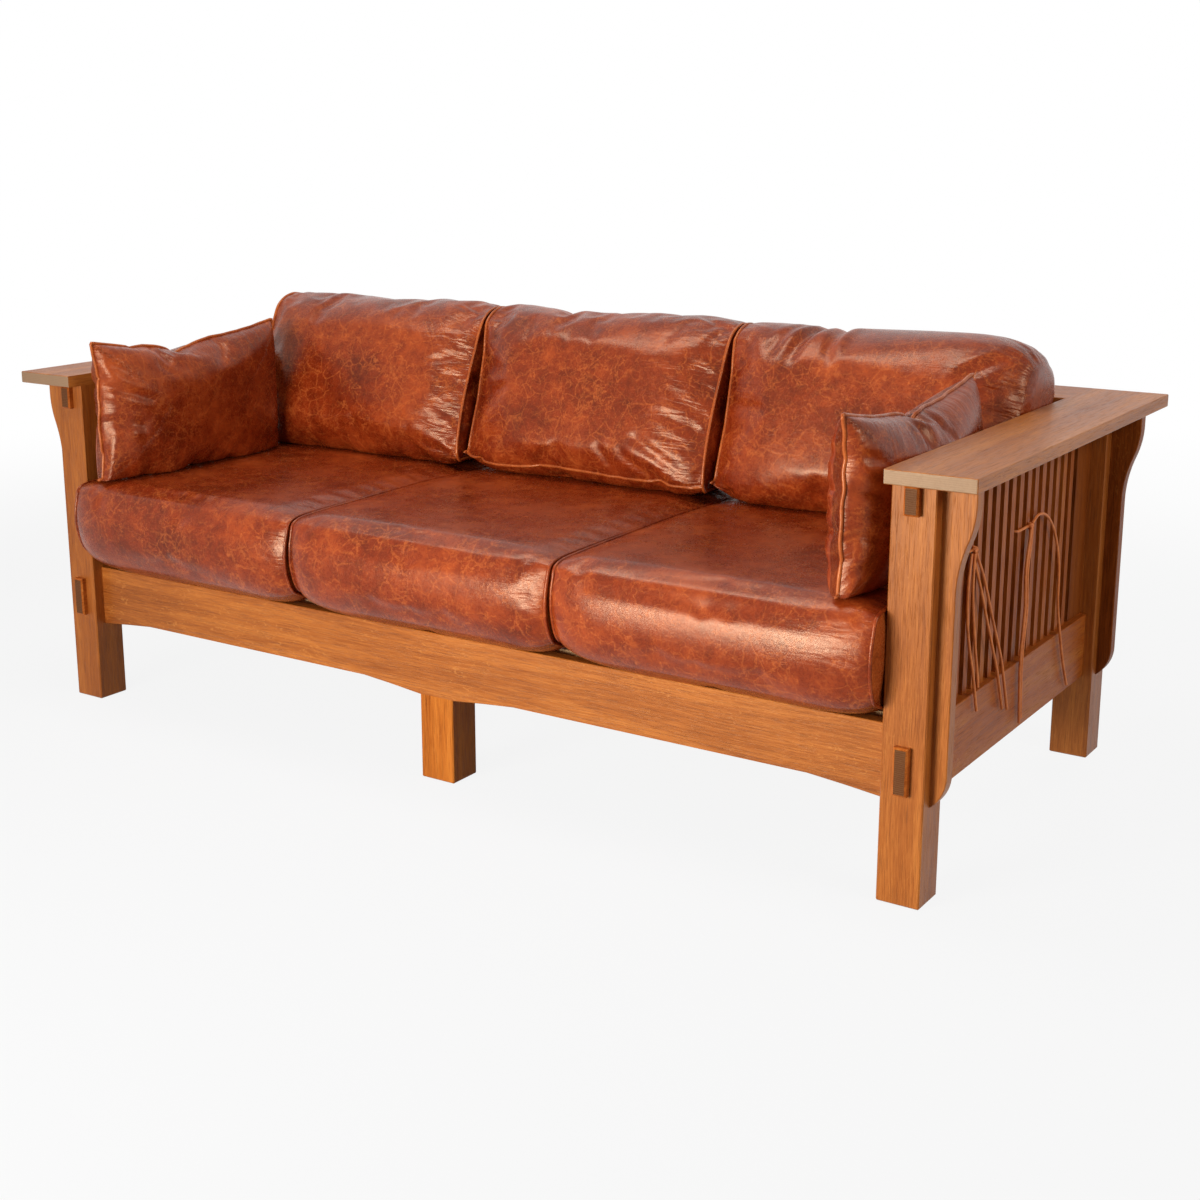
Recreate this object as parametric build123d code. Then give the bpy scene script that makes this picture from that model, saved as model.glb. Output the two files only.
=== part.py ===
from build123d import *
import math
import os

# Mission settle. X runs along the seat, Y runs from front to back, +Z is up.
# Sizes are in millimetres. Places along Y are first written from the front face of the front
# posts, and every piece is moved by one amount at the end, so that the origin is under the
# middle of the settle.

# Posts
frame_width = 2032.0
frame_depth = 921.0
post_width = 76.2
post_depth = 74.0
post_height = 709.4
post_ease = 2.0

# Boards of the arms and the back shelf
board_thick = 24.4
arm_width = 152.7
arm_front_overhang = 31.7
arm_rear_overhang = 48.5
shelf_depth = 157.0
board_ease = 2.4

# Lower rails and aprons
rail_bottom = 171.5
rail_height = 130.0
rail_thick = 38.1
apron_thick = 25.4
apron_setback = 25.4
arch_rise = 26.5
rail_ease = 1.2

# Rails under the arms and under the shelf
top_rail_height = 54.0

# Through tenons at the front posts, stub tenons elsewhere
tenon_thick = 25.4
tenon_height = 82.5
top_tenon_height = 48.0
tenon_proud = 12.7
tenon_chamfer = 3.2
stub_length = 22.0
stub_thick = 12.7
stub_shoulder = 12.0

# Middle legs
middle_leg_width = 79.0
middle_leg_depth = 74.0

# Spindles of the sides and the back
spindle_width = 19.05
spindle_thick = 12.7
spindle_pitch = 38.7
spindle_seat = 6.0
stile_width = 76.2

# Corbels under the arms
corbel_thick = 25.4
corbel_top_reach = 56.0
corbel_low_reach = 27.5
corbel_lip = 29.0
corbel_round_height = 62.0
corbel_hollow_height = 88.0
corbel_tail = 56.0
corbel_ease = 1.5

# Seat deck
cross_rail_width = 38.1
cross_rail_height = 70.0
cleat_width = 38.1
cleat_height = 38.1
slat_thick = 19.05
slat_width = 63.5
slat_clear = 2.0
slats_per_side = 9

# Fastenings and feet
dowel_radius = 5.0
dowel_sides = 8
dowel_length = 50.0
dowel_spacing = 50.8
dowel_stagger = 36.0
shelf_dowel_shares = (0.25, 0.75)
screws_per_cleat = 4
screw_sides = 8
screw_radius = 2.4
screw_head_radius = 4.8
screw_head_depth = 3.0
screw_length = 57.0
glide_radius = 15.0
glide_thick = 5.0
glide_proud = 1.5

# Seat cushions
cushion_count = 3
cushion_side_clear = 0.5
cushion_gap = 1.0
cushion_rest_clear = 0.3
crown_steps = 5
crown_angle = 80.0
seat_thick = 210.0
seat_front_reach = 48.0
seat_front_bulge = 10.0
seat_rear_clear = 58.2
seat_corner = 34.0
seat_draw_in = 4.0
seat_side_inset = 36.0
seat_end_inset = 66.0

# Back cushions
back_lean = 21.0
back_thick = 231.0
back_length = 440.0
back_rise = 352.2
back_corner = 46.0
back_draw_in = 5.0
back_side_inset = 44.0
back_end_inset = 88.0

# Arm pillows
pillow_rear_room = 312.5
pillow_height = 306.0
pillow_thick = 150.0
pillow_front_reach = 35.0
pillow_corner = 14.0
pillow_draw_in = 16.0
pillow_end_inset = 118.0
pillow_side_inset = 112.0
pillow_clear = 0.3

# Leather laces that tie the right pillow to the spindles
lace_thick = 5.2
lace_sides = 6
lace_slack = 0.3
lace_turn = 5.0
lace_bend_share = 0.45
knot_width = 15.0
knot_depth = 11.0
knot_height = 17.0
knot_ease = 3.0
knot_grip = 2.6
front_knot_drop = 99.4
rear_knot_drop = 110.4
front_knot_spindle = 4
rear_knot_spindle = 11
front_loop_span = 1
rear_loop_span = 2

# Routes of the hanging lace ends, from inside the knot down, as X, Y, Z
front_inner_route = [
    (992.6, 235.4, 550.4), (993.2, 232.0, 536.0), (994.0, 228.0, 514.0), (995.0, 227.0, 482.0),
    (996.4, 230.4, 444.0), (998.2, 236.4, 406.0), (1000.6, 240.8, 370.0), (1003.0, 246.4, 340.0),
    (1003.8, 249.4, 314.0),
]
front_outer_route = [
    (987.6, 233.4, 549.6), (989.6, 225.4, 537.6), (992.0, 214.6, 519.0), (994.0, 206.4, 492.0),
    (995.6, 203.8, 456.0), (997.2, 207.6, 418.0), (999.4, 216.4, 382.0), (1002.2, 226.6, 344.0),
    (1003.8, 236.0, 308.0), (1004.2, 247.4, 272.0),
]
front_long_route = [
    (992.6, 241.0, 550.4), (993.6, 248.4, 537.0), (995.2, 261.2, 519.0), (996.4, 278.6, 492.0),
    (997.6, 297.0, 456.0), (999.0, 317.8, 416.0), (1001.2, 339.8, 374.0), (1003.4, 360.0, 334.0),
    (1004.4, 377.0, 286.0), (1004.0, 399.8, 232.0),
]
front_short_route = [
    (987.4, 241.2, 549.4), (989.2, 242.8, 534.4), (992.4, 248.6, 515.0), (995.0, 262.4, 486.0),
    (996.6, 279.0, 450.0), (998.4, 299.2, 408.0), (1000.8, 318.8, 366.0), (1003.2, 338.0, 326.0),
    (1004.4, 354.0, 284.0), (1004.0, 374.6, 240.0),
]
rear_straight_route = [
    (992.4, 505.8, 541.0), (993.0, 503.0, 526.0), (993.8, 495.6, 508.0), (994.8, 485.6, 484.0),
    (995.8, 480.2, 456.0), (997.2, 482.4, 424.0), (999.0, 480.0, 390.0), (1001.0, 468.4, 356.0),
    (1003.2, 457.4, 322.0), (1004.4, 455.4, 284.0), (1004.6, 460.0, 236.0), (1004.2, 467.0, 186.0),
]
rear_crossed_route = [
    (992.4, 512.0, 541.0), (993.2, 511.0, 525.0), (994.2, 503.8, 505.0), (995.4, 494.4, 482.0),
    (996.6, 488.6, 455.0), (998.0, 490.8, 423.0), (999.8, 488.4, 388.0), (1001.8, 477.0, 355.0),
    (1003.8, 465.6, 320.0), (1004.6, 463.6, 282.0), (1004.4, 468.0, 238.0), (1004.0, 475.6, 193.0),
]
rear_arched_route = [
    (992.2, 512.4, 549.6), (992.6, 524.6, 556.4), (993.2, 541.6, 561.0), (994.0, 564.0, 559.0),
    (994.6, 588.0, 548.4), (995.2, 611.0, 530.6), (995.8, 631.4, 507.0), (996.6, 647.2, 478.0),
    (997.4, 657.6, 446.0), (998.6, 659.4, 414.0), (1000.2, 654.6, 384.0), (1002.0, 657.4, 350.0),
    (1003.8, 665.0, 318.0), (1004.6, 677.4, 282.0), (1004.4, 700.0, 234.0), (1004.0, 728.4, 188.0),
]

# Places worked out from the sizes above
half_width = frame_width / 2
post_inner = half_width - post_width
post_middle = half_width - post_width / 2
rear_post_front = frame_depth - post_depth
rail_top = rail_bottom + rail_height
rail_inner = post_middle - rail_thick / 2
arm_outer = post_inner + arm_width
board_top = post_height + board_thick
board_back = frame_depth + arm_rear_overhang
shelf_front = board_back - shelf_depth
apron_inner = apron_setback + apron_thick
rear_apron_front = frame_depth - apron_inner
rear_apron_back = frame_depth - apron_setback
top_rail_bottom = post_height - top_rail_height
slat_bottom = rail_top - slat_thick
cross_rail_bottom = slat_bottom - cross_rail_height
seat_bottom = rail_top + cushion_rest_clear
seat_top = seat_bottom + seat_thick
seat_back_line = rear_apron_front - seat_rear_clear
back_crest = seat_top + back_rise
pillow_length = shelf_front - pillow_rear_room + pillow_front_reach
seat_front = -seat_front_reach
cushion_room = 2 * (post_inner - cushion_side_clear) - (cushion_count - 1) * cushion_gap
cushion_width = cushion_room / cushion_count
spindle_outer = post_middle + spindle_thick / 2
spindle_inner = post_middle - spindle_thick / 2
spindle_field = rear_post_front - stile_width - post_depth
spindle_count = round(spindle_field / spindle_pitch)
spindle_step = spindle_field / spindle_count
back_plane = (rear_apron_front + rear_apron_back) / 2
front_knot_level = top_rail_bottom - front_knot_drop
rear_knot_level = top_rail_bottom - rear_knot_drop
middle_y = (board_back - seat_front_reach - seat_front_bulge) / 2

os.makedirs("parts", exist_ok=True)


def save(node, shape):
    """Move a piece so that the origin is under the middle of the settle, and write it."""
    placed = Pos(0, -middle_y, 0) * shape
    placed.label = node
    export_step(placed, f"parts/{node}.step")


def block(x_low, x_high, y_low, y_high, z_low, z_high, ease=0):
    """A board between two corners, with its edges eased by a small chamfer."""
    solid = Box(
        x_high - x_low, y_high - y_low, z_high - z_low,
        align=(Align.MIN, Align.MIN, Align.MIN),
    )
    if ease:
        solid = chamfer(solid.edges(), ease)
    return Pos(x_low, y_low, z_low) * solid


def other_side(shape):
    """The same piece on the left side of the settle."""
    return mirror(shape, about=Plane.YZ)


def group(solids):
    """Separate solids that share one node."""
    return Compound(children=[solid for piece in solids for solid in piece.solids()])


def evenly(low, high, width, count):
    """Low edges of equal pieces that stand between two faces with equal gaps."""
    gap = (high - low - count * width) / (count + 1)
    return [low + gap + index * (width + gap) for index in range(count)]


def without(shape, cuts):
    """A piece with the seats of its neighbours cut out of it."""
    for cut in cuts:
        shape = shape - cut
    return shape


# Rails with their tenons

def through_tenon(z_low, height):
    """Tenon that passes through the front post and shows its chamfered end."""
    tenon = block(
        post_middle - tenon_thick / 2, post_middle + tenon_thick / 2,
        -tenon_proud, post_depth, z_low, z_low + height,
    )
    end = tenon.faces().sort_by(Axis.Y)[0]
    return chamfer(end.edges(), tenon_chamfer)


def blind_tenon_rear(z_low, height):
    """Stub tenon that ends inside the rear post."""
    return block(
        post_middle - tenon_thick / 2, post_middle + tenon_thick / 2,
        rear_post_front, rear_post_front + stub_length, z_low, z_low + height,
    )


def side_rail(z_low, height, tenon_tall):
    """Right rail between the posts, with its tenons at half its height."""
    tenon_low = z_low + (height - tenon_tall) / 2
    rail = block(
        rail_inner, post_middle + rail_thick / 2, post_depth, rear_post_front,
        z_low, z_low + height, rail_ease,
    )
    return rail + through_tenon(tenon_low, tenon_tall) + blind_tenon_rear(tenon_low, tenon_tall)


def end_stubs(y_low, z_low, z_high):
    """Stub tenons at both ends of a rail that runs along the settle."""
    stub_y = y_low + (apron_thick - stub_thick) / 2
    return block(
        -post_inner - stub_length, post_inner + stub_length, stub_y, stub_y + stub_thick,
        z_low + stub_shoulder, z_high - stub_shoulder,
    )


def long_rail(y_low, z_low, z_high):
    rail = block(-post_inner, post_inner, y_low, y_low + apron_thick, z_low, z_high, rail_ease)
    return rail + end_stubs(y_low, z_low, z_high)


def front_apron():
    """Apron with one shallow arch on each side of the middle leg."""
    half_leg = middle_leg_width / 2
    arch_middle = (half_leg + post_inner) / 2
    arch_top = rail_bottom + arch_rise
    with BuildSketch(Plane.XZ) as outline:
        with BuildLine():
            Line((-post_inner, rail_top), (post_inner, rail_top))
            Line((post_inner, rail_top), (post_inner, rail_bottom))
            ThreePointArc((post_inner, rail_bottom), (arch_middle, arch_top), (half_leg, rail_bottom))
            Line((half_leg, rail_bottom), (-half_leg, rail_bottom))
            ThreePointArc((-half_leg, rail_bottom), (-arch_middle, arch_top), (-post_inner, rail_bottom))
            Line((-post_inner, rail_bottom), (-post_inner, rail_top))
        make_face()
    board = extrude(outline.sketch, amount=apron_thick)
    front = board.faces().sort_by(Axis.Y)[0]
    eased = [edge for edge in front.edges() if abs(edge.center().X) < post_inner]
    board = Pos(0, apron_inner, 0) * chamfer(eased, rail_ease)
    return board + end_stubs(apron_setback, rail_bottom, rail_top)


# Spindles and stiles

def spindle_front(index):
    """Front face of one side spindle, counted from the front post."""
    return post_depth + index * spindle_step


def side_upright(y_low, width):
    """Spindle or stile of the right side, with its ends in the two rails."""
    return block(
        spindle_inner, spindle_outer, y_low, y_low + width,
        rail_top - spindle_seat, top_rail_bottom + spindle_seat,
    )


def back_upright(x_low, width):
    """Spindle or stile of the back, with its ends in the apron and the rail under the shelf."""
    return block(
        x_low, x_low + width, back_plane - spindle_thick / 2, back_plane + spindle_thick / 2,
        rail_top - spindle_seat, top_rail_bottom + spindle_seat,
    )


def side_spindles():
    """Spindles from the front post to the rear stile, the first one against the post."""
    return [side_upright(spindle_front(index), spindle_width) for index in range(spindle_count)]


def back_spindles():
    """Spindles in two equal fields, one on each side of the middle stile."""
    field = post_inner - stile_width / 2
    count = round(field / spindle_pitch) - 1
    right = [
        back_upright(x_low, spindle_width)
        for x_low in evenly(stile_width / 2, post_inner, spindle_width, count)
    ]
    return right + [other_side(spindle) for spindle in right]


# Arms, shelf and corbels

def arm():
    board = block(
        post_inner, arm_outer, -arm_front_overhang, board_back, post_height, board_top,
    )
    return fillet(board.edges().filter_by(lambda edge: edge.center().X > post_inner), board_ease)


def shelf():
    board = block(-post_inner, post_inner, shelf_front, board_back, post_height, board_top)
    return fillet(board.edges().filter_by(Axis.X), board_ease)


def corbel(y_low):
    """Ogee bracket on the outer face of a right post, seen from the front in its outline."""
    drop = corbel_round_height + corbel_hollow_height
    share = corbel_round_height / drop
    turn_x = corbel_top_reach - (corbel_top_reach - corbel_low_reach) * share
    lip_z = post_height - corbel_lip
    turn_z = lip_z - corbel_round_height
    low_z = lip_z - drop
    with BuildSketch(Plane.XZ) as outline:
        with BuildLine():
            Line((0, rail_bottom), (0, post_height))
            Line((0, post_height), (corbel_top_reach, post_height))
            Line((corbel_top_reach, post_height), (corbel_top_reach, lip_z))
            shoulder = TangentArc((corbel_top_reach, lip_z), (turn_x, turn_z), tangent=(0, -1))
            TangentArc((turn_x, turn_z), (corbel_low_reach, low_z), tangent=shoulder % 1)
            Line((corbel_low_reach, low_z), (corbel_low_reach, rail_bottom + corbel_tail))
            TangentArc((corbel_low_reach, rail_bottom + corbel_tail), (0, rail_bottom), tangent=(0, -1))
        make_face()
    solid = extrude(outline.sketch, amount=corbel_thick)
    faces = solid.faces().filter_by(Axis.Y)
    eased = [edge for face in faces for edge in face.edges() if corbel_ease < edge.center().X]
    eased = [edge for edge in eased if edge.center().Z < post_height - corbel_ease]
    return Pos(half_width, y_low + corbel_thick, 0) * chamfer(eased, corbel_ease)


# Legs, feet and seat deck

def post(y_low, cuts):
    """Right post, eased on its long edges, with a mortise for each tenon that enters it."""
    solid = block(post_inner, half_width, y_low, y_low + post_depth, glide_proud, post_height)
    upright = solid.edges().filter_by(Axis.Z)
    foot = solid.faces().sort_by(Axis.Z)[0].edges()
    return without(chamfer(list(upright) + list(foot), post_ease), cuts)


def middle_leg(y_low, apron):
    """Leg under the middle of an apron, rebated so that the apron sits on its shoulder."""
    half = middle_leg_width / 2
    leg = block(-half, half, y_low, y_low + middle_leg_depth, glide_proud, cross_rail_bottom)
    upright = leg.edges().filter_by(Axis.Z)
    foot = leg.faces().sort_by(Axis.Z)[0].edges()
    return chamfer(list(upright) + list(foot), post_ease) - apron


def foot_points():
    """Middles of the six feet on the floor."""
    front_middle = apron_setback + middle_leg_depth / 2
    return [
        (post_middle, post_depth / 2), (post_middle, frame_depth - post_depth / 2),
        (-post_middle, post_depth / 2), (-post_middle, frame_depth - post_depth / 2),
        (0, front_middle), (0, frame_depth - front_middle),
    ]


def glide(x, y):
    """Round glide let into the underside of a foot."""
    return Pos(x, y, 0) * extrude(Circle(glide_radius), glide_thick)


def seat_slats():
    """Slats of the right half of the seat deck, laid on the cleat and the cross rail."""
    low = post_depth + slat_clear
    high = rear_post_front - slat_clear
    pitch = (high - low - slat_width) / (slats_per_side - 1)
    return [
        block(
            slat_clear, rail_inner - slat_clear, low + index * pitch, low + index * pitch + slat_width,
            slat_bottom, rail_top,
        )
        for index in range(slats_per_side)
    ]


def cleat():
    return block(
        rail_inner - cleat_width, rail_inner, post_depth, rear_post_front,
        slat_bottom - cleat_height, slat_bottom, rail_ease,
    )


def cleat_screws():
    """Countersunk screws that hold the right cleat to its rail."""
    pitch = (rear_post_front - post_depth) / screws_per_cleat
    head = loft([
        RegularPolygon(screw_head_radius, screw_sides),
        Pos(0, 0, screw_head_depth) * RegularPolygon(screw_radius, screw_sides),
    ])
    screw = Rot(0, 90, 0) * (head + extrude(RegularPolygon(screw_radius, screw_sides), screw_length))
    return [
        Pos(rail_inner - cleat_width, post_depth + (index + 0.5) * pitch, slat_bottom - cleat_height / 2) * screw
        for index in range(screws_per_cleat)
    ]


def arm_dowels():
    """Eight-sided pegs that hold the right arm to its posts, two staggered ones in each post."""
    pin = extrude(RegularPolygon(dowel_radius, dowel_sides), dowel_length)
    z = post_height + board_thick / 2 - dowel_length
    return [
        Pos(post_middle + side * dowel_spacing / 2, y - side * dowel_stagger / 2, z) * pin
        for y in (post_depth / 2, frame_depth - post_depth / 2)
        for side in (-1, 1)
    ]


def shelf_dowels():
    """Pegs across the joint of the back shelf and the right arm."""
    pin = Rot(0, 90, 0) * extrude(RegularPolygon(dowel_radius, dowel_sides), dowel_length / 2, both=True)
    return [
        Pos(post_inner, shelf_front + share * shelf_depth, post_height + board_thick / 2) * pin
        for share in shelf_dowel_shares
    ]


# Cushions

# A crown rounds over like a quarter of an ellipse: shares of half the thickness and of the inset
crown_turns = [math.radians(crown_angle) * step / crown_steps for step in range(crown_steps + 1)]
crown_shares = [
    (math.sin(turn) / math.sin(crown_turns[-1]), (1 - math.cos(turn)) / (1 - math.cos(crown_turns[-1])))
    for turn in crown_turns
]


def cushion_outline(half_x, half_y, corner, draw_in, front_bulge, height):
    """Plan of a cushion at one height, with drawn-in sides and round corners."""
    left = (-half_x, half_y)
    with BuildSketch(Plane.XY.offset(height)) as outline:
        with BuildLine():
            ThreePointArc((-half_x, -half_y), (0, -half_y - front_bulge), (half_x, -half_y))
            ThreePointArc((half_x, -half_y), (half_x - draw_in, 0), (half_x, half_y))
            ThreePointArc((half_x, half_y), (0, half_y - draw_in), left)
            ThreePointArc(left, (-half_x + draw_in, 0), (-half_x, -half_y))
        make_face()
        fillet(outline.vertices(), corner)
    return outline.sketch


def stuffed(width, length, thick, side_inset, end_inset, corner, draw_in, front_bulge):
    """Crowned cushion lofted through its plans, lying flat with its middle at the origin."""
    lower = [(-share, inset) for share, inset in reversed(crown_shares[1:])]
    plans = [
        cushion_outline(
            width / 2 - inset * side_inset, length / 2 - inset * end_inset, corner,
            draw_in * (1 - inset / 2), front_bulge * (1 - inset / 2), share * thick / 2,
        )
        for share, inset in lower + crown_shares
    ]
    return loft(plans)


def cushion_middle(index):
    return (index - (cushion_count - 1) / 2) * (cushion_width + cushion_gap)


def seat_cushion(index):
    """Boxed seat cushion, its front a little rounded out past the posts."""
    body = stuffed(
        cushion_width, seat_back_line + seat_front_reach, seat_thick, seat_side_inset, seat_end_inset,
        seat_corner, seat_draw_in, seat_front_bulge,
    )
    y = (seat_back_line - seat_front_reach) / 2
    return Pos(cushion_middle(index), y, seat_bottom + seat_thick / 2) * body


def back_cushion(index):
    """Back cushion that leans on the shelf and stands on the seat, flat where it stands."""
    lean = math.radians(back_lean)
    crest = max(
        (back_length / 2 - inset * back_end_inset) * math.cos(lean)
        + share * back_thick / 2 * math.sin(lean)
        for share, inset in crown_shares
    )
    z = back_crest - crest
    rear_offset = shelf_front * math.cos(lean) - board_top * math.sin(lean) - cushion_rest_clear
    y = (rear_offset - back_thick / 2 + z * math.sin(lean)) / math.cos(lean)
    body = stuffed(
        cushion_width, back_length, back_thick, back_side_inset, back_end_inset, back_corner,
        back_draw_in, -back_draw_in,
    )
    placed = Pos(cushion_middle(index), y, z) * Rot(90 - back_lean, 0, 0) * body
    below = block(
        cushion_middle(index) - cushion_width, cushion_middle(index) + cushion_width,
        0, frame_depth, rail_bottom, seat_top + cushion_rest_clear,
    )
    return placed - below


def pillow():
    """Pillow that stands on the seat, against the inside of the right arm."""
    widest = cushion_outline(
        pillow_height / 2, pillow_length / 2, pillow_corner, pillow_draw_in, -pillow_draw_in, 0
    )
    body = stuffed(
        pillow_height, pillow_length, pillow_thick, pillow_side_inset, pillow_end_inset,
        pillow_corner, pillow_draw_in, -pillow_draw_in,
    )
    x = post_inner - pillow_clear - pillow_thick / 2
    y = pillow_length / 2 - pillow_front_reach
    z = seat_top + cushion_rest_clear + widest.bounding_box().max.X
    return Pos(x, y, z) * Rot(0, 90, 0) * body


# Laces

def lace_along(path):
    """Leather lace of hexagonal section along a path."""
    start = Plane(origin=path @ 0, z_dir=path % 0)
    return sweep(start * RegularPolygon(lace_thick / 2, lace_sides), path=path)


def lace_tube(node, points):
    """Tube along a route of straight runs joined by arcs as large as the runs allow."""
    route = [Vector(*point) for point in points]
    radii = []
    for before, corner, after in zip(route, route[1:], route[2:]):
        turn = math.radians((corner - before).get_angle(after - corner))
        run = min((corner - before).length, (after - corner).length)
        radii.append(lace_bend_share * run / math.tan(turn / 2))
    path = FilletPolyline(*route, radius=radii)
    tube = lace_along(path)
    expected = RegularPolygon(lace_thick / 2, lace_sides).area * path.length
    print(node, "length", round(path.length, 1), "least radius", round(min(radii), 1),
          "volume share", round(tube.volume / expected, 4))
    return tube


def knot_place(spindle):
    """Middle of a knot along X and Y, on the outer face of its spindle."""
    return spindle_outer + lace_slack + knot_depth / 2, spindle_front(spindle) + spindle_width / 2


def knot(spindle, level, laces):
    """Pulled-tight knot round the laces that come out of it."""
    body = chamfer(Box(knot_depth, knot_width, knot_height).edges(), knot_ease)
    x, y = knot_place(spindle)
    return without(Pos(x, y, level) * body, laces)


def lace_loop(spindle, span, level):
    """Lace from the knot, in through the gaps beside the spindles and round behind them."""
    gap = spindle_step - spindle_width
    y_low = spindle_front(spindle - span + 1) - gap / 2
    y_high = spindle_front(spindle) + spindle_width + gap / 2
    outer = spindle_outer + lace_slack + lace_thick / 2
    inner = post_inner + lace_slack + lace_thick / 2
    knot_y = knot_place(spindle)[1]
    reach = knot_width / 2 - knot_grip
    path = FilletPolyline(
        (outer, knot_y - reach, level), (outer, y_low, level), (inner, y_low, level),
        (inner, y_high, level), (outer, y_high, level), (outer, knot_y + reach, level),
        radius=lace_turn,
    )
    return lace_along(path)


# Build the frame

right_rail = side_rail(rail_bottom, rail_height, tenon_height)
right_top_rail = side_rail(top_rail_bottom, top_rail_height, top_tenon_height)
apron = front_apron()
rear_apron = long_rail(rear_apron_front, rail_bottom, rail_top)
back_top_rail = long_rail(rear_apron_front, top_rail_bottom, post_height)
spindles = side_spindles()
stile = side_upright(rear_post_front - stile_width, stile_width)
back_bars = back_spindles()
back_stile = back_upright(-stile_width / 2, stile_width)
arm_pins = arm_dowels()
shelf_pins = shelf_dowels()
left_shelf_pins = [other_side(pin) for pin in shelf_pins]
screws = cleat_screws()
glides = [glide(x, y) for x, y in foot_points()]

post_cuts = [right_rail, right_top_rail, apron, rear_apron, back_top_rail] + arm_pins + glides
for y_low, name in ((0, "front"), (rear_post_front, "rear")):
    upright = post(y_low, post_cuts)
    save(f"{name}_post_right", upright)
    save(f"{name}_post_left", other_side(upright))
    bracket = corbel(y_low + (post_depth - corbel_thick) / 2)
    save(f"{name}_corbel_right", bracket)
    save(f"{name}_corbel_left", other_side(bracket))

save("front_middle_leg", without(middle_leg(apron_setback, apron), glides))
rear_leg_front = frame_depth - apron_setback - middle_leg_depth
save("rear_middle_leg", without(middle_leg(rear_leg_front, rear_apron), glides))
save("foot_glides", group(glides))

lower_rail = without(right_rail, spindles + [stile] + screws)
upper_rail = without(right_top_rail, spindles + [stile])
save("side_rail_right", lower_rail)
save("side_rail_left", other_side(lower_rail))
save("arm_rail_right", upper_rail)
save("arm_rail_left", other_side(upper_rail))
save("side_spindles_right", group(spindles))
save("side_spindles_left", other_side(group(spindles)))
save("rear_stile_right", stile)
save("rear_stile_left", other_side(stile))

save("front_apron", apron)
save("rear_apron", without(rear_apron, back_bars + [back_stile]))
save("back_top_rail", without(back_top_rail, back_bars + [back_stile]))
save("back_spindles", group(back_bars))
save("back_middle_stile", back_stile)

right_arm = without(arm(), arm_pins + shelf_pins)
save("arm_right", right_arm)
save("arm_left", other_side(right_arm))
save("back_shelf", without(shelf(), shelf_pins + left_shelf_pins))
save("arm_dowels", group(arm_pins + [other_side(pin) for pin in arm_pins]))
save("shelf_dowels", group(shelf_pins + left_shelf_pins))

cross_rail = block(
    -cross_rail_width / 2, cross_rail_width / 2, apron_inner, rear_apron_front,
    cross_rail_bottom, slat_bottom, rail_ease,
)
right_cleat = without(cleat(), screws)
save("seat_cross_rail", cross_rail)
save("seat_cleat_right", right_cleat)
save("seat_cleat_left", other_side(right_cleat))
save("seat_slats_right", group(seat_slats()))
save("seat_slats_left", other_side(group(seat_slats())))
save("cleat_screws", group(screws + [other_side(screw) for screw in screws]))

# Build the cushions and pillows

for index, side in enumerate(("left", "middle", "right")):
    save(f"seat_cushion_{side}", seat_cushion(index))
    save(f"back_cushion_{side}", back_cushion(index))
save("arm_pillow_right", pillow())
save("arm_pillow_left", other_side(pillow()))

# Build the laces

front_routes = {
    "front_lace_inner": front_inner_route,
    "front_lace_outer": front_outer_route,
    "front_lace_long": front_long_route,
    "front_lace_short": front_short_route,
}
rear_routes = {
    "rear_lace_straight": rear_straight_route,
    "rear_lace_crossed": rear_crossed_route,
    "rear_lace_arched": rear_arched_route,
}
ties = (
    ("front", front_knot_spindle, front_loop_span, front_knot_level, front_routes),
    ("rear", rear_knot_spindle, rear_loop_span, rear_knot_level, rear_routes),
)
for name, spindle, span, level, routes in ties:
    loop = lace_loop(spindle, span, level)
    tubes = {node: lace_tube(node, points) for node, points in routes.items()}
    save(f"{name}_lace_loop", loop)
    save(f"{name}_lace_knot", knot(spindle, level, [loop] + list(tubes.values())))
    for node, tube in tubes.items():
        save(node, tube)
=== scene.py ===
import bpy
import math
import numpy as np
from mathutils import Matrix, Vector


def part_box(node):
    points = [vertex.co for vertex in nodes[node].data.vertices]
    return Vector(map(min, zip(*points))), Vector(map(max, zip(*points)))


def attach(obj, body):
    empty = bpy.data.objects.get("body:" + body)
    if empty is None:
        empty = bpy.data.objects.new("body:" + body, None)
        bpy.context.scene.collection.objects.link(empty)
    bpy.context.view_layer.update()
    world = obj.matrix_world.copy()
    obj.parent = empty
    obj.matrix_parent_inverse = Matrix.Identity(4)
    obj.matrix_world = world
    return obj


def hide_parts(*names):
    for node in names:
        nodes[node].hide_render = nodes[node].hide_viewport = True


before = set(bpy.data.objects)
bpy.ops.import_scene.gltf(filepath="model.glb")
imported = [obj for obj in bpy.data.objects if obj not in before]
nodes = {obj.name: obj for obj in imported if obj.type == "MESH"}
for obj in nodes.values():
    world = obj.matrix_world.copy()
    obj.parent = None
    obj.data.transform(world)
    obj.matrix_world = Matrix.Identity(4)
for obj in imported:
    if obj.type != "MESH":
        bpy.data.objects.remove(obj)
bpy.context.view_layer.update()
scene = bpy.context.scene
print("frame loaded,", len(nodes), "nodes")

# The settle's own places are easier to write from the front face of its posts, in mm
frontOfPosts = 455.75


def settlePoint(x, y, z):
    return (x / 1000, (y - frontOfPosts) / 1000, z / 1000)


def settlePoints(points):
    return np.array([settlePoint(*point) for point in points])


# camera

camera = {
    "place": (2.0264, -2.9609, 1.2571), "yaw": 34.417, "pitch": -13.316, "roll": -0.282,
    "lens": 52.49, "shift": (0.0336, -0.053), "farthest": 60,
}


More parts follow.
